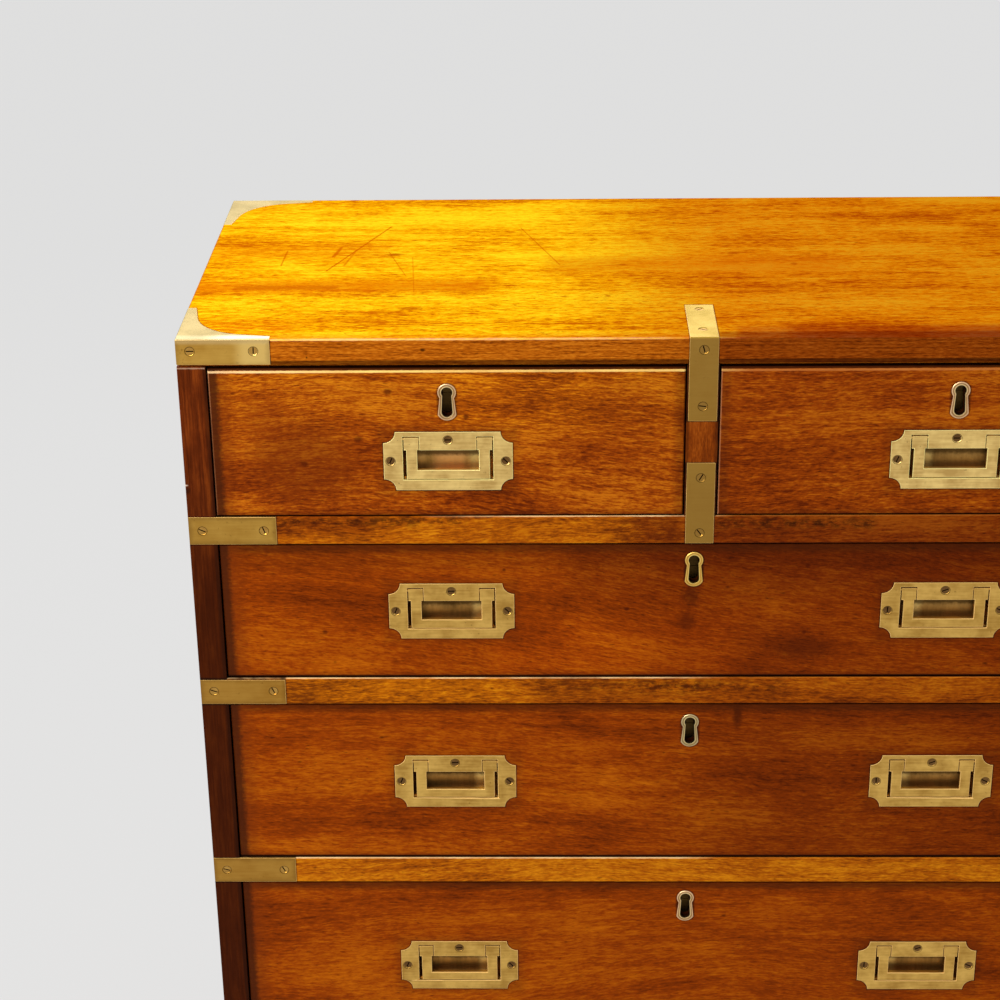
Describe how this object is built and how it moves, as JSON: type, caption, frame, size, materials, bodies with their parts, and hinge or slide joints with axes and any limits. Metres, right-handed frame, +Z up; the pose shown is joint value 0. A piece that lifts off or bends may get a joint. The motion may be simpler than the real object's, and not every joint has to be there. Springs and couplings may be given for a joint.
{
  "type": "campaign chest of drawers",
  "caption": "Mahogany campaign chest of drawers with flush brass corner brackets and straps, sunken drop handles and turned bun feet.",
  "frame": {"origin": "on the floor under the middle of the chest", "axes": "+X to the right along the width, +Y to the back, +Z up; the drawers face -Y"},
  "size_m": [0.9148, 0.41, 0.874],
  "materials": {
    "mahogany_top": "waxed",
    "mahogany_front": "waxed",
    "mahogany_frame": "waxed",
    "lining_wood": "bare",
    "binding_brass": "satin",
    "handle_brass": "satin",
    "lock_brass": "dull",
    "screw_brass": "dull"
  },
  "bodies": {
    "carcase": {"top_board": "mahogany_top", "bottom_board": "mahogany_frame", "left_side": "mahogany_frame", "right_side": "mahogany_frame", "back_boards": "lining_wood", "drawer_rails": "mahogany_frame", "drawer_divider": "mahogany_frame", "drawer_runners": "lining_wood", "dust_boards": "lining_wood", "drawer_stops": "lining_wood", "feet": "mahogany_frame", "corner_brackets": "binding_brass", "binding_straps": "binding_brass", "binding_screws": "screw_brass", "carry_handle_plates": "handle_brass"},
    "top_left_drawer": {"top_left_front": "mahogany_front", "top_left_box": "lining_wood", "top_left_handle_plate": "handle_brass", "top_left_escutcheon": "handle_brass", "top_left_lock_case": "lock_brass", "top_left_screws": "screw_brass"},
    "top_left_bail": {"top_left_bail": "handle_brass"},
    "top_left_lock_bolt": {"top_left_lock_bolt": "lock_brass"},
    "top_right_drawer": {"top_right_front": "mahogany_front", "top_right_box": "lining_wood", "top_right_handle_plate": "handle_brass", "top_right_escutcheon": "handle_brass", "top_right_lock_case": "lock_brass", "top_right_screws": "screw_brass"},
    "top_right_bail": {"top_right_bail": "handle_brass"},
    "top_right_lock_bolt": {"top_right_lock_bolt": "lock_brass"},
    "second_drawer": {"second_front": "mahogany_front", "second_box": "lining_wood", "second_handle_plates": "handle_brass", "second_escutcheon": "handle_brass", "second_lock_case": "lock_brass", "second_screws": "screw_brass"},
    "second_left_bail": {"second_left_bail": "handle_brass"},
    "second_right_bail": {"second_right_bail": "handle_brass"},
    "second_lock_bolt": {"second_lock_bolt": "lock_brass"},
    "third_drawer": {"third_front": "mahogany_front", "third_box": "lining_wood", "third_handle_plates": "handle_brass", "third_escutcheon": "handle_brass", "third_lock_case": "lock_brass", "third_screws": "screw_brass"},
    "third_left_bail": {"third_left_bail": "handle_brass"},
    "third_right_bail": {"third_right_bail": "handle_brass"},
    "third_lock_bolt": {"third_lock_bolt": "lock_brass"},
    "bottom_drawer": {"bottom_front": "mahogany_front", "bottom_box": "lining_wood", "bottom_handle_plates": "handle_brass", "bottom_escutcheon": "handle_brass", "bottom_lock_case": "lock_brass", "bottom_screws": "screw_brass"},
    "bottom_left_bail": {"bottom_left_bail": "handle_brass"},
    "bottom_right_bail": {"bottom_right_bail": "handle_brass"},
    "bottom_lock_bolt": {"bottom_lock_bolt": "lock_brass"},
    "carry_bail_left": {"carry_bail_left": "handle_brass"},
    "carry_bail_right": {"carry_bail_right": "handle_brass"}
  },
  "joints": [
    {"name": "top_left_drawer_slide", "type": "slide", "parent": "carcase", "child": "top_left_drawer", "axis": [0, -1, 0], "range_m": [0, 0.3]},
    {"name": "top_left_bail_hinge", "type": "hinge", "parent": "top_left_drawer", "child": "top_left_bail", "pos_m": [-0.223, -0.202, 0.7787], "axis": [-1, 0, 0], "range_deg": [0, 90]},
    {"name": "top_left_lock_bolt_slide", "type": "slide", "parent": "top_left_drawer", "child": "top_left_lock_bolt", "axis": [0, 0, 1], "range_m": [0, 0.008]},
    {"name": "top_right_drawer_slide", "type": "slide", "parent": "carcase", "child": "top_right_drawer", "axis": [0, -1, 0], "range_m": [0, 0.3]},
    {"name": "top_right_bail_hinge", "type": "hinge", "parent": "top_right_drawer", "child": "top_right_bail", "pos_m": [0.223, -0.202, 0.7787], "axis": [-1, 0, 0], "range_deg": [0, 90]},
    {"name": "top_right_lock_bolt_slide", "type": "slide", "parent": "top_right_drawer", "child": "top_right_lock_bolt", "axis": [0, 0, 1], "range_m": [0, 0.008]},
    {"name": "second_drawer_slide", "type": "slide", "parent": "carcase", "child": "second_drawer", "axis": [0, -1, 0], "range_m": [0, 0.3]},
    {"name": "second_left_bail_hinge", "type": "hinge", "parent": "second_drawer", "child": "second_left_bail", "pos_m": [-0.223, -0.2014, 0.6297], "axis": [-1, 0, 0], "range_deg": [0, 90]},
    {"name": "second_right_bail_hinge", "type": "hinge", "parent": "second_drawer", "child": "second_right_bail", "pos_m": [0.223, -0.2014, 0.6297], "axis": [-1, 0, 0], "range_deg": [0, 90]},
    {"name": "second_lock_bolt_slide", "type": "slide", "parent": "second_drawer", "child": "second_lock_bolt", "axis": [0, 0, 1], "range_m": [0, 0.008]},
    {"name": "third_drawer_slide", "type": "slide", "parent": "carcase", "child": "third_drawer", "axis": [0, -1, 0], "range_m": [0, 0.3]},
    {"name": "third_left_bail_hinge", "type": "hinge", "parent": "third_drawer", "child": "third_left_bail", "pos_m": [-0.223, -0.2014, 0.4497], "axis": [-1, 0, 0], "range_deg": [0, 90]},
    {"name": "third_right_bail_hinge", "type": "hinge", "parent": "third_drawer", "child": "third_right_bail", "pos_m": [0.223, -0.2014, 0.4497], "axis": [-1, 0, 0], "range_deg": [0, 90]},
    {"name": "third_lock_bolt_slide", "type": "slide", "parent": "third_drawer", "child": "third_lock_bolt", "axis": [0, 0, 1], "range_m": [0, 0.008]},
    {"name": "bottom_drawer_slide", "type": "slide", "parent": "carcase", "child": "bottom_drawer", "axis": [0, -1, 0], "range_m": [0, 0.3]},
    {"name": "bottom_left_bail_hinge", "type": "hinge", "parent": "bottom_drawer", "child": "bottom_left_bail", "pos_m": [-0.223, -0.2014, 0.2402], "axis": [-1, 0, 0], "range_deg": [0, 90]},
    {"name": "bottom_right_bail_hinge", "type": "hinge", "parent": "bottom_drawer", "child": "bottom_right_bail", "pos_m": [0.223, -0.2014, 0.2402], "axis": [-1, 0, 0], "range_deg": [0, 90]},
    {"name": "bottom_lock_bolt_slide", "type": "slide", "parent": "bottom_drawer", "child": "bottom_lock_bolt", "axis": [0, 0, 1], "range_m": [0, 0.008]},
    {"name": "carry_bail_left_hinge", "type": "hinge", "parent": "carcase", "child": "carry_bail_left", "pos_m": [-0.45454, 0, 0.62626], "axis": [0, 1, 0], "range_deg": [0, 90]},
    {"name": "carry_bail_right_hinge", "type": "hinge", "parent": "carcase", "child": "carry_bail_right", "pos_m": [0.45454, 0, 0.62626], "axis": [0, -1, 0], "range_deg": [0, 90]}
  ]
}
